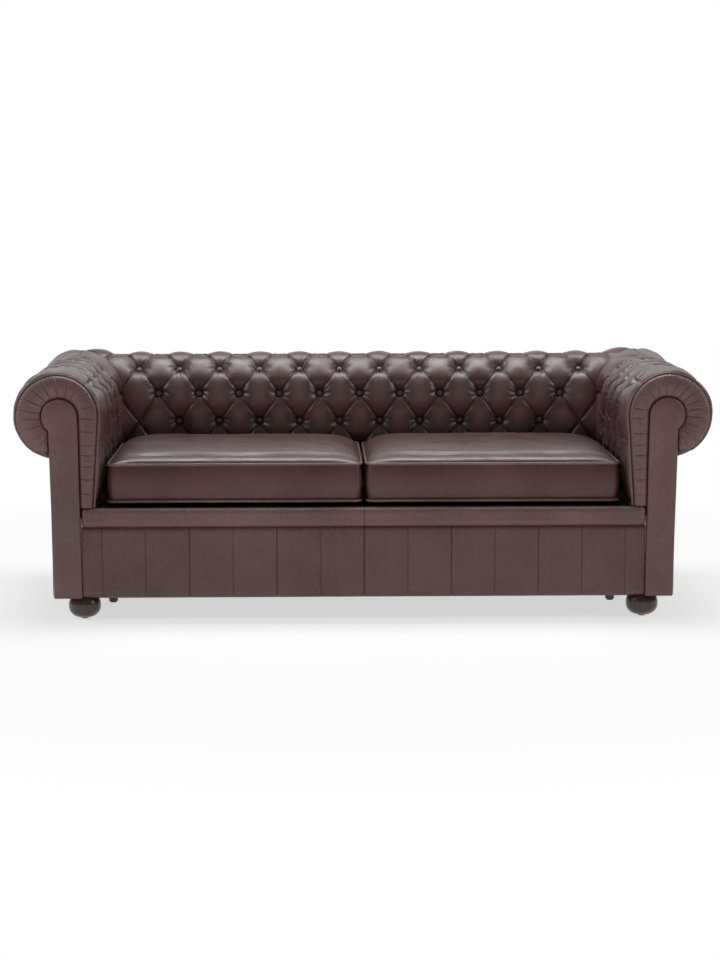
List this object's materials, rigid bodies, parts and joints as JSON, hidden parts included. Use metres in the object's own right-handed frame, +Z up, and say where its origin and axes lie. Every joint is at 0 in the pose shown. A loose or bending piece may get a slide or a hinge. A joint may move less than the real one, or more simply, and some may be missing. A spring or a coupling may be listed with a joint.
{
  "type": "chesterfield sofa",
  "caption": "Low-backed leather sofa with rolled, deep-buttoned back and arms, loose seat cushions, a channelled apron and bun feet.",
  "frame": {"origin": "on the floor, under the middle of the sofa's overall width and depth", "axes": "+X along the sofa to the right as seen from the front, -Y out of the front, +Z up"},
  "size_m": [2.0442, 0.8871, 0.735],
  "materials": {
    "tufted_leather": "satin",
    "leather_buttons": "satin",
    "cushion_leather": "satin",
    "piping_leather": "satin",
    "facing_leather": "satin",
    "outside_leather": "satin",
    "seat_foam": "matte",
    "deck_felt": "matte",
    "dust_cloth": "matte",
    "zip_tape": "matte",
    "zip_brass": "satin",
    "spring_steel": "satin",
    "glide_nylon": "matte",
    "turned_wood": "satin",
    "hardboard": "matte",
    "frame_timber": "matte"
  },
  "bodies": {
    "frame": {"arm_front_posts": "frame_timber", "back_buttons": "leather_buttons", "back_posts": "frame_timber", "back_roll_former": "hardboard", "back_top_rail": "frame_timber", "back_tufted_pad": "tufted_leather", "base_batten": "frame_timber", "corner_blocks": "frame_timber", "corner_posts": "frame_timber", "dust_cover": "dust_cloth", "foot_glides": "glide_nylon", "foot_studs": "spring_steel", "front_apron": "facing_leather", "front_border": "facing_leather", "front_left_foot": "turned_wood", "front_right_foot": "turned_wood", "front_seat_rail": "frame_timber", "left_arm_buttons": "leather_buttons", "left_arm_front_panel": "facing_leather", "left_arm_roll_former": "hardboard", "left_arm_top_rail": "frame_timber", "left_arm_tufted_pad": "tufted_leather", "left_arm_welt": "piping_leather", "left_facing_board": "hardboard", "left_outside_arm_cover": "outside_leather", "left_pleated_facing": "facing_leather", "left_seat_side_rail": "frame_timber", "middle_feet": "turned_wood", "outer_tack_rails": "frame_timber", "outside_back_cover": "outside_leather", "rear_left_foot": "turned_wood", "rear_right_foot": "turned_wood", "rear_seat_rail": "frame_timber", "rear_spring_rail": "frame_timber", "right_arm_buttons": "leather_buttons", "right_arm_front_panel": "facing_leather", "right_arm_roll_former": "hardboard", "right_arm_top_rail": "frame_timber", "right_arm_tufted_pad": "tufted_leather", "right_arm_welt": "piping_leather", "right_facing_board": "hardboard", "right_outside_arm_cover": "outside_leather", "right_pleated_facing": "facing_leather", "right_seat_side_rail": "frame_timber", "seat_cross_rail": "frame_timber", "seat_deck_pad": "deck_felt", "seat_springs": "spring_steel", "spring_clips": "spring_steel", "spring_tie_wires": "spring_steel"},
    "left_cushion": {"left_cushion_cover": "cushion_leather", "left_cushion_core": "seat_foam", "left_cushion_piping": "piping_leather", "left_cushion_zip": "zip_tape"},
    "left_slider": {"left_zip_slider": "zip_brass"},
    "right_cushion": {"right_cushion_cover": "cushion_leather", "right_cushion_core": "seat_foam", "right_cushion_piping": "piping_leather", "right_cushion_zip": "zip_tape"},
    "right_slider": {"right_zip_slider": "zip_brass"}
  },
  "joints": [
    {"name": "left_cushion_lift", "type": "slide", "parent": "frame", "child": "left_cushion", "axis": [0, 0, 1], "range_m": [0, 0.45]},
    {"name": "right_cushion_lift", "type": "slide", "parent": "frame", "child": "right_cushion", "axis": [0, 0, 1], "range_m": [0, 0.45]},
    {"name": "left_zip_slide", "type": "slide", "parent": "left_cushion", "child": "left_slider", "axis": [1, 0, 0], "range_m": [0, 0.52]},
    {"name": "right_zip_slide", "type": "slide", "parent": "right_cushion", "child": "right_slider", "axis": [1, 0, 0], "range_m": [0, 0.52]}
  ]
}
